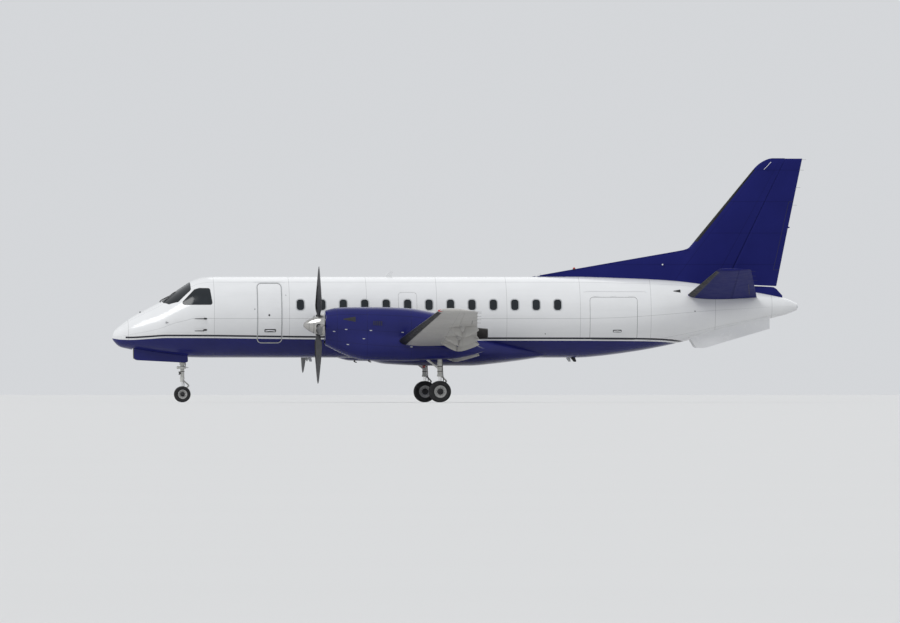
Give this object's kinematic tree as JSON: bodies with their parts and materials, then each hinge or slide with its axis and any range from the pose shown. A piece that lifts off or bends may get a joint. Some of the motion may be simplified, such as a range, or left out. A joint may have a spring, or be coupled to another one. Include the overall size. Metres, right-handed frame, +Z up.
{
  "type": "twin turboprop airliner",
  "caption": "Low-wing twin-turboprop regional airliner with a round fuselage, swept fin and twin-wheel nose and main gear.",
  "frame": {"origin": "on the ground under the middle of the box round the whole aircraft", "axes": "+X runs aft from the nose to the tail, +Y to the aircraft's right wing, +Z up"},
  "size_m": [19.73, 21.4346, 6.97],
  "materials": {
    "cockpit_skin": "gloss",
    "cabin_skin": "gloss",
    "navy_skin": "gloss",
    "navy_cowling": "gloss",
    "wing_skin": "satin",
    "control_skin": "satin",
    "strake_skin": "satin",
    "window_glass": "gloss",
    "spinner_metal": "polished",
    "blade": "satin",
    "gear_steel": "satin",
    "wheel_hub": "satin",
    "tyre": "matte",
    "exhaust_metal": "heat-stained",
    "engine_block": "matte"
  },
  "bodies": {
    "airframe": {"radome": "cockpit_skin", "cockpit_section": "cockpit_skin", "cabin_front": "cabin_skin", "passenger_door": "cabin_skin", "cabin_centre": "cabin_skin", "cabin_rear": "cabin_skin", "rear_fuselage": "cabin_skin", "cargo_door": "cabin_skin", "tail_cone": "cabin_skin", "belly_fairing": "navy_skin", "fin": "navy_skin", "nose_leg": "gear_steel", "windscreen_left": "window_glass", "side_window_left": "window_glass", "nose_gear_door_left": "navy_skin", "wing_left": "wing_skin", "tailplane_left": "navy_skin", "ventral_strake_left": "strake_skin", "nacelle_left": "navy_cowling", "engine_left": "engine_block", "exhaust_left": "exhaust_metal", "main_leg_left": "gear_steel", "windscreen_right": "window_glass", "side_window_right": "window_glass", "nose_gear_door_right": "navy_skin", "wing_right": "wing_skin", "tailplane_right": "navy_skin", "ventral_strake_right": "strake_skin", "nacelle_right": "navy_cowling", "engine_right": "engine_block", "exhaust_right": "exhaust_metal", "main_leg_right": "gear_steel"},
    "nose_steering": {"nose_fork": "gear_steel"},
    "nose_wheels": {"nose_wheel_hubs": "wheel_hub", "nose_tyre_left": "tyre", "nose_tyre_right": "tyre"},
    "rudder": {"rudder": "navy_skin"},
    "propeller_left": {"spinner_left": "spinner_metal", "propeller_left": "blade"},
    "aileron_left": {"aileron_left": "control_skin"},
    "flap_left": {"flap_inner_left": "control_skin", "flap_outer_left": "control_skin"},
    "elevator_left": {"elevator_left": "navy_skin"},
    "main_wheels_left": {"main_left_wheel_hubs": "wheel_hub", "main_left_tyre_outer": "tyre", "main_left_tyre_inner": "tyre"},
    "propeller_right": {"spinner_right": "spinner_metal", "propeller_right": "blade"},
    "aileron_right": {"aileron_right": "control_skin"},
    "flap_right": {"flap_inner_right": "control_skin", "flap_outer_right": "control_skin"},
    "elevator_right": {"elevator_right": "navy_skin"},
    "main_wheels_right": {"main_right_wheel_hubs": "wheel_hub", "main_right_tyre_outer": "tyre", "main_right_tyre_inner": "tyre"}
  },
  "joints": [
    {"name": "propeller_left_spin", "type": "hinge", "parent": "airframe", "child": "propeller_left", "pos_m": [-4.175, -3.355, 2.191], "axis": [1, 0, 0], "continuous": true},
    {"name": "propeller_right_spin", "type": "hinge", "parent": "airframe", "child": "propeller_right", "pos_m": [-4.175, 3.355, 2.191], "axis": [1, 0, 0], "continuous": true},
    {"name": "nose_steering", "type": "hinge", "parent": "airframe", "child": "nose_steering", "pos_m": [-7.865, 0, 1], "axis": [0, 0, 1], "range_deg": [-60, 60]},
    {"name": "nose_wheels_spin", "type": "hinge", "parent": "nose_steering", "child": "nose_wheels", "pos_m": [-7.865, 0, 0.2286], "axis": [0, 1, 0], "continuous": true},
    {"name": "main_wheels_left_spin", "type": "hinge", "parent": "airframe", "child": "main_wheels_left", "pos_m": [-0.725, -3.355, 0.305], "axis": [0, 1, 0], "continuous": true},
    {"name": "main_wheels_right_spin", "type": "hinge", "parent": "airframe", "child": "main_wheels_right", "pos_m": [-0.725, 3.355, 0.305], "axis": [0, 1, 0], "continuous": true},
    {"name": "aileron_left_hinge", "type": "hinge", "parent": "airframe", "child": "aileron_left", "pos_m": [-0.4379, -7.7305, 2.2139], "axis": [0.0119, 0.9924, -0.1223], "range_deg": [-25, 20]},
    {"name": "aileron_right_hinge", "type": "hinge", "parent": "airframe", "child": "aileron_right", "pos_m": [-0.4379, 7.7305, 2.2139], "axis": [-0.0119, 0.9924, 0.1223], "range_deg": [-20, 25]},
    {"name": "flap_left_hinge", "type": "hinge", "parent": "airframe", "child": "flap_left", "pos_m": [-0.25, -3.9606, 1.4195], "axis": [0.0226, 0.9919, -0.1251], "range_deg": [0, 35]},
    {"name": "flap_right_hinge", "type": "hinge", "parent": "airframe", "child": "flap_right", "pos_m": [-0.25, 3.9606, 1.4195], "axis": [-0.0226, 0.9919, 0.1251], "range_deg": [0, 35]},
    {"name": "elevator_left_hinge", "type": "hinge", "parent": "airframe", "child": "elevator_left", "pos_m": [7.8328, -0.58, 3.0444], "axis": [0.0294, 0.9838, -0.177], "range_deg": [-25, 20]},
    {"name": "elevator_right_hinge", "type": "hinge", "parent": "airframe", "child": "elevator_right", "pos_m": [7.8328, 0.58, 3.0444], "axis": [-0.0294, 0.9838, 0.177], "range_deg": [-25, 20]},
    {"name": "rudder_hinge", "type": "hinge", "parent": "airframe", "child": "rudder", "pos_m": [7.693, 0, 3.33], "axis": [0.4256, 0, 0.9049], "range_deg": [-30, 30]}
  ],
  "couplings": [
    {"joint": "aileron_right_hinge", "follows": "aileron_left_hinge", "ratio": -1},
    {"joint": "flap_right_hinge", "follows": "flap_left_hinge", "ratio": 1},
    {"joint": "elevator_right_hinge", "follows": "elevator_left_hinge", "ratio": 1}
  ]
}
